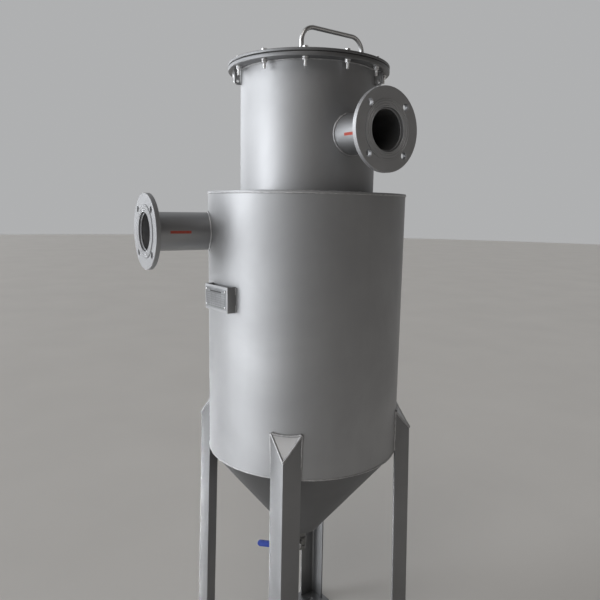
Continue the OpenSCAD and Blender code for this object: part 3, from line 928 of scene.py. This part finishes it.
class CYCLONE_OT_valve(CyclonePiece, bpy.types.Operator):
    """Build the drain nipple, the ball valve and its sleeved lever"""

    bl_idname = "cyclone.valve"
    bl_label = "Drain valve"

    # What the boxes of the nodes don't give
    port_r = 7.5 * MM
    ball_r = 13.5 * MM
    bonnet_r = 9.5 * MM
    stem_r = 5 * MM
    thread_r = 4 * MM
    thread_pitch = 1.0 * MM
    gland_flats = 20 * MM
    lock_flats = 16 * MM
    bore_r = 9 * MM
    spigot_r = 11.4 * MM
    nipple_r = 13.45 * MM

    def execute(self, context):
        place = valve_place()
        self.body(place)
        self.nipple(place)
        self.stem(place)
        self.lever()
        self.sleeve(place)
        return {"FINISHED"}

    def body(self, place):
        """Two hexagon ends, the ball's chamber between them and the stem's bonnet."""
        low, high = local_box("valve_body", place)
        chamber_r = high.y
        flats = 1.684 * chamber_r
        end_h = 0.2333 * (high.z - low.z)
        shoulder = high.z - end_h
        waist = 0.47 * flats
        socket_r = MOUNTS["drain_socket"]["dims"]["r_mm"] * MM
        shape = bmesh.new()
        for side in (1, -1):
            nut = bevel_sharp(hexagon(flats, end_h, socket_r, True), 0.5 * MM, 2, 50)
            way = Matrix.Scale(side, 4, (0, 0, 1)) @ Matrix.Translation((0, 0, shoulder))
            put(shape, nut, place @ way)
        half = [
            (chamber_r, shoulder - 6 * MM), (chamber_r - MM, shoulder - 4 * MM), (waist, shoulder - MM),
            (waist - MM, shoulder + 2 * MM), (self.port_r, shoulder + 2 * MM),
        ]
        barrel = lathe([(radius, -level) for radius, level in reversed(half)] + half, 64)
        put(shape, bevel_sharp(barrel, 0.8 * MM, 2, 20), place)
        bonnet_r, face = self.bonnet_r, high.x
        outline = [(0, 8 * MM), (bonnet_r + 3 * MM, 8 * MM), (bonnet_r + 1.2 * MM, chamber_r)]
        outline += [(bonnet_r, chamber_r + 2.5 * MM), (bonnet_r, face - 0.6 * MM)]
        outline += [(bonnet_r - 0.6 * MM, face), (0, face)]
        put(shape, lathe(outline, 48, False), lying(place))
        add_piece("ball_valve_body", shape, "valve_stainless", replaced=["valve_body"])

    def nipple(self, place):
        """The tube between cone and valve, with the plate that closes the cone's tip."""
        low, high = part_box("drain_nipple")
        bore, tube_r, wide = self.bore_r, self.nipple_r, radius_of("drain_nipple")
        neck = local_box("valve_body", place)[1].z + place.to_translation().z
        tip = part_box("cone")[0].z
        outline = [(bore, low.z), (self.spigot_r, low.z), (self.spigot_r, neck)]
        outline += [(tube_r, neck + 0.4 * MM), (tube_r, tip), (wide, tip), (wide, high.z), (bore, high.z)]
        add_piece("drain_tube", lathe(outline, 64), "blasted_stainless", replaced=["drain_nipple"])

    def nut(self, node, place, flats, bore, width):
        """A nut that lies on the stem, where its node is."""
        low, high = local_box(node, place)
        shape = bevel_sharp(hexagon(flats, high.x - low.x, bore, True), width, 1, 50)
        return put_at(lying(place) @ Matrix.Translation((0, 0, low.x)), shape)

    def stem(self, place):
        """The gland nut, the threaded stem with its ball, and the nut that locks the lever."""
        gland = self.nut("gland_nut", place, self.gland_flats, self.stem_r + 0.1 * MM, 0.4 * MM)
        add_piece("gland_hexagon", gland, "valve_stainless", replaced=["gland_nut"])

        gland_end = local_box("gland_nut", place)[1].x
        top = local_box("valve_stem", place)[1].x
        inside = self.ball_r - 0.5 * MM
        stem_r, thread_r, pitch = self.stem_r, self.thread_r, self.thread_pitch
        profile = [(0, inside), (stem_r, inside), (stem_r, gland_end + 3.6 * MM)]
        level = gland_end + 3.8 * MM
        while level < top - 1.4 * pitch:
            profile += [(thread_r - 0.45 * pitch, level), (thread_r, level + pitch / 2)]
            level += pitch
        profile += [(thread_r - 0.7 * MM, top), (0, top)]
        stem = put_at(lying(place), lathe(profile, 32, False))
        ball = bmesh.new()
        bmesh.ops.create_uvsphere(ball, u_segments=48, v_segments=24, radius=self.ball_r)
        hole = bmesh.new()
        bmesh.ops.create_cone(
            hole, cap_ends=True, segments=48, radius1=self.port_r, radius2=self.port_r,
            depth=3 * self.ball_r,
        )
        bmesh.ops.rotate(hole, matrix=Matrix.Rotation(math.pi / 2, 3, "X"), verts=hole.verts)
        put(stem, carved(ball, hole), place)
        add_piece("stem_and_ball", stem, "bright_stainless", LEVER, ["valve_stem"])

        lock = self.nut("lever_nut", place, self.lock_flats, thread_r, 0.35 * MM)
        add_piece("lever_lock_nut", lock, "bright_stainless", LEVER, ["lever_nut"])

    def lever(self):
        shape = bevel_sharp(merged_copy("valve_lever"), 0.5 * MM, 2, 32)
        add_piece("bent_lever", shape, "bright_stainless", LEVER, ["valve_lever"])

    def sleeve(self, place):
        """A dipped sleeve: a strap with a pillowed skin, a thick lip and a rounded toe."""
        low, high = local_box("lever_sleeve", place)
        middle = (low.x + high.x) / 2
        half_w = high.z
        thick = high.x - low.x
        strap = slab(stadium(half_w, low.y, high.y + half_w, 14), thick)
        bmesh.ops.bisect_plane(
            strap, geom=list(strap.verts) + list(strap.edges) + list(strap.faces),
            plane_co=(0, high.y, 0), plane_no=(0, 1, 0), clear_outer=True,
        )
        bmesh.ops.holes_fill(strap, edges=rim(strap.edges), sides=0)
        bmesh.ops.recalc_face_normals(strap, faces=strap.faces)
        bevel_sharp(strap, 0.44 * thick, 5, 60)
        lengthwise = [edge for edge in strap.edges if edge.calc_length() > 20 * MM]
        bmesh.ops.subdivide_edges(strap, edges=lengthwise, cuts=12, use_grid_fill=True)
        # It is thinnest half way, with a thicker lip near its open end
        for point in strap.verts:
            along = (point.co.y - low.y) / (high.y - low.y)
            press = 0.05 * math.sin(math.pi * min(1.0, max(0.0, along)))
            lip = 0.08 * math.exp(-(((along - 0.97) / 0.02) ** 2))
            point.co.z = thick / 2 + (point.co.z - thick / 2) * (0.93 - press + lip)
            point.co.x *= 0.985 - 0.5 * press + 0.25 * lip
        face_out = Matrix(((0, 0, 1, middle - thick / 2), (0, 1, 0, 0), (-1, 0, 0, 0), (0, 0, 0, 1)))
        shape = put_at(place @ face_out, strap)
        add_piece("vinyl_sleeve", shape, "blue_vinyl", LEVER, ["lever_sleeve"], sharp=60)


class CYCLONE_OT_name_plate(CyclonePiece, bpy.types.Operator):
    """Build the bent bracket and the riveted plate, ruled but without words"""

    bl_idname = "cyclone.name_plate"
    bl_label = "Name plate"

    def execute(self, context):
        bracket = merged_copy("name_plate_bracket")
        place = plate_place()
        face = local_box("name_plate_bracket", place)[1].x
        back = place.inverted()
        outer = [
            edge for edge in upright(bracket)
            if (back @ edge.verts[0].co).x > face - MM
            and min((back @ point.co).x for point in edge.verts) > face - 3 * MM
        ]
        bevel(bracket, outer, 2.6 * MM, 5)
        bevel_sharp(bracket, 0.3 * MM, 2, 50)
        add_piece("bent_bracket", bracket, "blasted_stainless", replaced=["name_plate_bracket"])
        self.plate(place)
        return {"FINISHED"}

    def plate(self, place):
        low, high = local_box("name_plate", place)
        half_w, half_h, thick = high.y, high.z, high.x - low.x
        corners = [(-half_w, -half_h), (half_w, -half_h), (half_w, half_h), (-half_w, half_h)]
        sheet = slab(corners, thick)
        bevel(sheet, upright(sheet), 2.5 * MM, 5)
        bevel_sharp(sheet, 0.2 * MM, 2, 50)
        stand = place @ Matrix(((0, 0, 1, low.x), (1, 0, 0, 0), (0, 1, 0, 0), (0, 0, 0, 1)))
        add_piece("etched_sheet", put_at(stand, sheet), "plate_metal", replaced=["name_plate"])

        front = stand @ Matrix.Translation((0, 0, thick))
        inset = 5 * MM
        left, right = inset - half_w, half_w - inset
        bottom, top = inset - half_h, half_h - inset
        self.lines(front, left, right, bottom, top)
        self.rivets(front, (left - 0.5 * MM, right + 0.5 * MM), (bottom + 1.5 * MM, top - 1.5 * MM))

    def lines(self, front, left, right, bottom, top):
        """A frame, a ruled table and a bar where a heading would be."""
        ink = 0.08 * MM
        border, middle, fine, bar = 0.7, 0.5, 0.35, 4.6
        head = top - 9 * MM
        heading = (head + top) / 2
        strokes = [(left, level, right, level, border) for level in (bottom, top, head)]
        strokes += [(side, bottom, side, top, border) for side in (left, right)]
        strokes.append((0, bottom, 0, head, middle))
        strokes += [(side, bottom, side, head, fine) for side in (0.45 * left, 0.55 * right)]
        for index in range(1, 6):
            level = bottom + index * (head - bottom) / 6
            strokes.append((left, level, right, level, fine))
        strokes.append((0.62 * left, heading, 0.62 * right, heading, bar))
        lines = bmesh.new()
        for x1, y1, x2, y2, breadth in strokes:
            part = bmesh.new()
            bmesh.ops.create_cube(part, size=1)
            over = 0 if breadth == bar else breadth * MM
            size = (abs(x2 - x1) + over, abs(y2 - y1) + breadth * MM, 2 * ink)
            bmesh.ops.scale(part, vec=size, verts=part.verts)
            put(lines, part, front @ Matrix.Translation(((x1 + x2) / 2, (y1 + y2) / 2, 0)))
        add_piece("ruled_lines", lines, "plate_metal", finish="etched_ink")

    def rivets(self, front, across, levels):
        """A domed rivet head near each corner."""
        radius = self.sizes.rivet
        height, sunk, steps = 0.55 * radius, 0.3 * MM, 6
        turns = [0.5 * math.pi * step / steps for step in range(steps + 1)]
        dome = [(radius * math.sin(turn), height * math.cos(turn)) for turn in turns]
        dome += [(0.9 * radius, -sunk), (0, -sunk)]
        rivets = bmesh.new()
        for x in across:
            for y in levels:
                put(rivets, lathe(dome, 28, False), front @ Matrix.Translation((x, y, 0)))
        add_piece("plate_rivets", rivets, "bright_stainless")


class CYCLONE_OT_marks(CyclonePiece, bpy.types.Operator):
    """Paint one plain red mark on each pipe"""

    bl_idname = "cyclone.marks"
    bl_label = "Paint marks"

    def execute(self, context):
        self.mark("inlet", -85 * MM, 0, 1.0)
        self.mark("outlet", -79 * MM, 187, 0.82)
        return {"FINISHED"}

    def mark(self, port, middle, turn, share):
        """A painted patch: its middle from the flange's face, turn in degrees and share of the length."""
        place = mount_place(port + "_bolts")
        lift, film = 0.12 * MM, 0.1 * MM
        radius = local_box(port + "_pipe", place)[1].y + lift
        length = self.sizes.mark_length * share
        angle = self.sizes.mark_height / radius
        shape = bmesh.new()
        points = [shape.verts.new((radius, 0, middle + side * length / 2)) for side in (-1, 1)]
        edge = shape.edges.new(points)
        bmesh.ops.spin(
            shape, geom=points + [edge], cent=(0, 0, 0), axis=(0, 0, 1), angle=angle, steps=6,
            use_merge=False,
        )
        bmesh.ops.remove_doubles(shape, verts=shape.verts, dist=1e-7)
        bmesh.ops.solidify(shape, geom=shape.faces[:], thickness=-film)
        bmesh.ops.recalc_face_normals(shape, faces=shape.faces)
        turned = place @ Matrix.Rotation(math.radians(turn) - angle / 2, 4, "Z")
        bmesh.ops.transform(shape, matrix=turned, verts=shape.verts)
        add_piece(port + "_mark", shape, "blasted_stainless", finish="red_paint")


class CYCLONE_OT_welds(CyclonePiece, bpy.types.Operator):
    """Lay the weld beads of the seams, pipes, flanges, legs, lugs, handle and bracket"""

    bl_idname = "cyclone.welds"
    bl_label = "Welds"

    def execute(self, context):
        lower_r = radius_of("lower_shell")
        upper_r = radius_of("upper_shell")
        self.seams(lower_r, upper_r)
        self.port_welds("inlet", lower_r)
        self.port_welds("outlet", upper_r)
        for corner in CORNERS:
            self.leg_welds(corner, lower_r)
        self.handle_welds()
        self.drain_welds()
        self.lug_welds(upper_r)
        self.bracket_tacks(lower_r)
        return {"FINISHED"}

    def seams(self, lower_r, upper_r):
        """The round seams of the shells, the cone and the body flange."""
        sizes = self.sizes
        low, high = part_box("shoulder_plate")
        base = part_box("lower_shell")[0].z
        flange_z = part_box("body_flange")[0].z
        for name, radius, level, size in (
            ("shoulder_weld", lower_r + 0.2 * MM, low.z - 0.3 * MM, sizes.small_bead),
            ("neck_weld", upper_r + 1.2 * MM, high.z + 1.0 * MM, sizes.neck_bead),
            ("cone_weld", lower_r - 0.6 * MM, base - 0.4 * MM, sizes.cone_bead),
            ("body_flange_weld", upper_r + 0.8 * MM, flange_z - 0.8 * MM, sizes.rim_bead),
        ):
            weld_piece(name, [(arc(radius, level), True)], size, sizes.ripple)

    def port_welds(self, port, shell_r):
        """Beads round a pipe at the shell and behind its flange, and at its end inside the flange."""
        sizes = self.sizes
        place = mount_place(port + "_bolts")
        high = local_box(port + "_pipe", place)[1]
        back = local_box(port + "_flange", place)[0].z
        lines = [
            (saddle(place, high.y + MM, shell_r + MM), True),
            (moved(arc(high.y + 0.8 * MM, back - 0.8 * MM), place), True),
        ]
        weld_piece(port + "_welds", lines, sizes.pipe_bead, sizes.ripple)
        inside = moved(arc(high.y - 1.4 * MM, high.z + 1.2 * MM), place)
        # The bead inside the bore wears the darker rim copy of the steel: painted shade
        weld_piece(port + "_inner_weld", [(inside, True)], sizes.inner_bead, sizes.ripple, "rim_steel")

    def leg_welds(self, corner, lower_r):
        """Beads up both sides of a leaning leg, round its slanted cap and along its foot."""
        sizes = self.sizes
        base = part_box("lower_shell")[0].z
        peak = base + sizes.leg_lap
        lean = math.tan(sizes.leg_splay)
        half = math.sqrt(0.5)
        reach = sizes.leg_width * half
        toe = (sizes.leg_width - sizes.leg_wall) * half
        slope = sizes.cap_drop / reach
        low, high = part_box("leg_" + corner)
        x = high.x if high.x > 0 else low.x
        y = high.y if high.y > 0 else low.y
        turn = Matrix.Rotation(math.atan2(y, x), 4, "Z")
        foot_r = math.hypot(x, y)
        floor_r = foot_r + low.z * lean
        tips = floor_r - peak * lean - reach
        notch = (peak - (floor_r - tips) * slope) / (1 - lean * slope)
        lines = []
        for side in (-1, 1):
            ends = []
            for level in (base + 3 * MM, peak - MM):
                # The bead drifts outwards a little less than the leg leans
                across = toe + 1.3 * MM + 0.88 * (level - base) * lean
                ends.append((math.sqrt((lower_r + 0.9 * MM) ** 2 - across**2), side * across, level))
            tip = (tips, side * reach, peak - MM)
            edge = (floor_r - notch * lean - 0.4 * MM, 0, notch - MM)
            lines += [run(*ends), run(tip, edge)]
        spread = math.asin(toe / lower_r)
        crest = arc(lower_r + 1.2 * MM, 0, -spread, spread)
        for point in crest:
            point.z = peak - (point.x - tips) * slope + 0.3 * MM
        lines.append(crest)
        turned = [(moved(line, turn), False) for line in lines]
        weld_piece("leg_weld_" + corner, turned, sizes.leg_bead, sizes.ripple)
        level = low.z + 0.5 * MM
        sides = [run((foot_r - reach, side * reach, level), (foot_r, 0, level)) for side in (-1, 1)]
        self.small_piece("foot_weld_" + corner, [(moved(line, turn), False) for line in sides])

    def small_piece(self, name, lines):
        weld_piece(name, lines, self.sizes.small_bead, self.sizes.ripple)

    def handle_welds(self):
        low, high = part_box("cover_handle")
        rod_r = (high.x - low.x) / 2
        feet = []
        for y in (low.y + rod_r, high.y - rod_r):
            centre = Matrix.Translation(((low.x + high.x) / 2, y, low.z + 0.5 * MM))
            feet.append((moved(arc(rod_r + 0.5 * MM, 0), centre), True))
        self.small_piece("handle_welds", feet)

    def drain_welds(self):
        """Beads round the nipple and round the plate in the cone's tip."""
        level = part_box("cone")[0].z - 0.4 * MM
        reaches = (14.2 * MM, radius_of("drain_nipple") + 0.4 * MM)
        self.small_piece("drain_welds", [(arc(reach, level), True) for reach in reaches])

    def lug_welds(self, upper_r):
        """Beads on both sides of each lug, up the shell and along the body flange."""
        lines = []
        for side in ("right", "left"):
            thick = local_box("lifting_lug_" + side, mount_place("lug_eye_" + side))[1].z
            low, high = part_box("lifting_lug_" + side)
            eye = Vector(MOUNTS["lug_eye_" + side]["pos_m"])
            out = Vector((eye.x, eye.y, 0)).normalized()
            along = Vector((-out.y, out.x, 0))
            up = Vector((0, 0, 1))
            for way in (-1, 1):
                root = out * (upper_r + 0.8 * MM) + along * way * (thick + 0.6 * MM)
                lines.append((run(root + up * (low.z + 2 * MM), root + up * (high.z - 2 * MM)), False))
                top = root + up * (high.z - 0.8 * MM)
                lines.append((run(top, top + out * 2 * (eye.xy.length - upper_r - MM)), False))
        self.small_piece("lug_welds", lines)

    def bracket_tacks(self, lower_r):
        """Short beads at the bracket's four corners, on the shell."""
        plate = plate_place()
        low, high = local_box("name_plate_bracket", plate)
        inward = plate.to_3x3() @ Vector((-1, 0, 0))
        tacks = []
        for side in (low.y - 0.4 * MM, high.y + 0.4 * MM):
            for start, end in ((low.z + 2 * MM, low.z + 20 * MM), (high.z - 20 * MM, high.z - 2 * MM)):
                points = moved(run((0, side, start), (0, side, end)), plate)
                shell_r = lower_r + 0.6 * MM
                tacks.append(([on_shell(point, inward, shell_r, -1) for point in points], False))
        self.small_piece("bracket_tacks", tacks)


class CYCLONE_OT_stage(CyclonePiece, bpy.types.Operator):
    """Set the floor, the air, the lamps and the camera"""

    bl_idname = "cyclone.stage"
    bl_label = "Stage"

    # The photograph's camera, found from the outlines of the shells, legs and flanges
    azimuth = math.radians(-36.5)
    distance = 1.787
    eye_height = 1.5
    yaw = -0.00806
    pitch = 0.15512
    roll = 0.01681
    focal_px = 590.9
    image_px = 600
    sensor_mm = 36

    # Lamps: degrees from the camera's side, degrees of height, strength, spread in degrees, colour
    cool = (0.94, 0.965, 1.0)
    warm = (1.0, 0.965, 0.93)
    rig = (
        ("window_lamp_1", -35, 1, 0.13, 24, cool),
        ("window_lamp_2", -56, 1, 0.41, 24, cool),
        ("window_lamp_3", -77, 1, 0.92, 24, cool),
        ("window_lamp_4", -98, 16, 0.20, 24, cool),
        ("window_lamp_5", -119, 16, 0.42, 24, cool),
        ("window_lamp_6", -142, 8, 0.30, 24, cool),
        ("skylight", -77, 32, 0.44, 24, cool),
        ("front_lamp", -17, 49, 0.50, 40, warm),
        ("right_lamp", 73, 5, 0.03, 40, warm),
        ("bounce_lamp_1", -48, -22, 0.26, 24, cool),
        ("bounce_lamp_2", -77, -28, 0.42, 24, cool),
        ("bounce_lamp_3", -119, -28, 0.16, 24, cool),
        ("bounce_lamp_4", -140, -28, 0.41, 24, cool),
    )
    lamp_distance = 5
    floor_r = 30

    # Air: its colours, the middle of the pale side and the angles from there at which it fades
    dim = (0.058, 0.054, 0.051)
    pale = (0.43, 0.435, 0.44)
    pale_side = -155
    fade_starts = 50
    fade_ends = 108

    def execute(self, context):
        self.ground()
        self.lamps()
        self.camera()
        context.scene.view_settings.view_transform = "Standard"
        return {"FINISHED"}

    def ground(self):
        floor = bmesh.new()
        bmesh.ops.create_circle(floor, cap_ends=True, segments=96, radius=self.floor_r)
        mesh = mesh_of("floor", floor)
        mesh.materials.append(studio_floor("studio_floor", tuple(self.colours.floor)))
        piece = in_scene("floor", mesh)
        # The bounce lamps stand for a bright floor far to the left, so the floor lets them through
        piece.visible_shadow = False

    def lamps(self):
        self.air()
        for name, offset, height, strength, spread, colour in self.rig:
            data = bpy.data.lights.new(name, "SUN")
            data.color = colour
            # A ray towards a lamp below the floor stops at the floor, so only the lamp is sampled
            data.cycles.use_multiple_importance_sampling = height > 0
            data.energy = strength
            data.angle = math.radians(spread)
            lamp = in_scene(name, data)
            away = self.towards(offset, height)
            lamp.location = away * self.lamp_distance
            lamp.rotation_euler = away.to_track_quat("Z", "Y").to_euler()

    def towards(self, offset, height):
        """The direction at an angle to the camera's side and above the floor."""
        turn = self.azimuth + math.radians(offset)
        up = math.radians(height)
        return Vector((math.cos(turn) * math.cos(up), math.sin(turn) * math.cos(up), math.sin(up)))

    def air(self):
        """A dim studio all round with a soft pale backdrop beyond the object, on its window side."""
        world = bpy.data.worlds.new("studio_air")
        bpy.context.scene.world = world
        world.use_nodes = True
        nodes = world.node_tree.nodes
        link = world.node_tree.links.new
        across = nodes.new("ShaderNodeVectorMath")
        across.operation = "DOT_PRODUCT"
        across.inputs[1].default_value = self.towards(self.pale_side, 0)
        link(nodes.new("ShaderNodeTexCoord").outputs["Generated"], across.inputs[0])
        fade = nodes.new("ShaderNodeMapRange")
        fade.interpolation_type = "SMOOTHSTEP"
        edge = math.cos(math.radians(self.fade_ends))
        core = math.cos(math.radians(self.fade_starts))
        fill(fade, {"From Min": edge, "From Max": core})
        link(across.outputs["Value"], fade.inputs["Value"])
        mix = nodes.new("ShaderNodeMix")
        mix.data_type = "RGBA"
        fill(mix, {"A": (*self.dim, 1), "B": (*self.pale, 1)})
        link(fade.outputs["Result"], mix.inputs["Factor"])
        link(mix.outputs["Result"], nodes["Background"].inputs["Color"])

    def camera(self):
        data = bpy.data.cameras.new("photo_camera")
        data.sensor_fit = "HORIZONTAL"
        data.sensor_width = self.sensor_mm
        data.lens = self.sensor_mm * self.focal_px / self.image_px
        data.clip_start = 0.05
        camera = in_scene("photo_camera", data)
        quarter = self.azimuth + math.pi / 2
        ahead = Vector((math.sin(self.yaw), math.cos(self.yaw), 0)) * math.cos(self.pitch)
        ahead.z = -math.sin(self.pitch)
        right = Vector((math.cos(self.yaw), -math.sin(self.yaw), 0))
        up = right.cross(ahead)
        tilted_right = right * math.cos(self.roll) + up * math.sin(self.roll)
        tilted_up = up * math.cos(self.roll) - right * math.sin(self.roll)
        turn = Matrix((tilted_right, tilted_up, -ahead)).transposed().to_4x4()
        place = Matrix.Translation((0, -self.distance, self.eye_height)) @ turn
        camera.matrix_world = Matrix.Rotation(quarter, 4, "Z") @ place
        bpy.context.scene.camera = camera


PIECES = (
    CYCLONE_OT_finishes,
    CYCLONE_OT_rims,
    CYCLONE_OT_fastenings,
    CYCLONE_OT_pipe_flanges,
    CYCLONE_OT_legs,
    CYCLONE_OT_valve,
    CYCLONE_OT_name_plate,
    CYCLONE_OT_marks,
    CYCLONE_OT_welds,
    CYCLONE_OT_stage,
)


class CYCLONE_PT_panel(bpy.types.Panel):
    """Lists the sizes, the colours and the pieces"""

    bl_idname = "CYCLONE_PT_panel"
    bl_label = "Cyclone Separator"
    bl_space_type = "VIEW_3D"
    bl_region_type = "UI"
    bl_category = "Cyclone"

    def draw(self, context):
        for group in (context.scene.cyclone_sizes, context.scene.cyclone_colours):
            box = self.layout.box()
            for name in group.__annotations__:
                box.prop(group, name)
        for piece in PIECES:
            self.layout.operator(piece.bl_idname)


CLASSES = (CycloneSizes, CycloneColours, *PIECES, CYCLONE_PT_panel)


def register():
    for cls in CLASSES:
        bpy.utils.register_class(cls)
    bpy.types.Scene.cyclone_sizes = PointerProperty(type=CycloneSizes)
    bpy.types.Scene.cyclone_colours = PointerProperty(type=CycloneColours)


def unregister():
    del bpy.types.Scene.cyclone_colours
    del bpy.types.Scene.cyclone_sizes
    for cls in reversed(CLASSES):
        bpy.utils.unregister_class(cls)


def main():
    register()
    for piece in PIECES:
        group, name = piece.bl_idname.split(".")
        getattr(getattr(bpy.ops, group), name)()


if __name__ == "__main__":
    main()
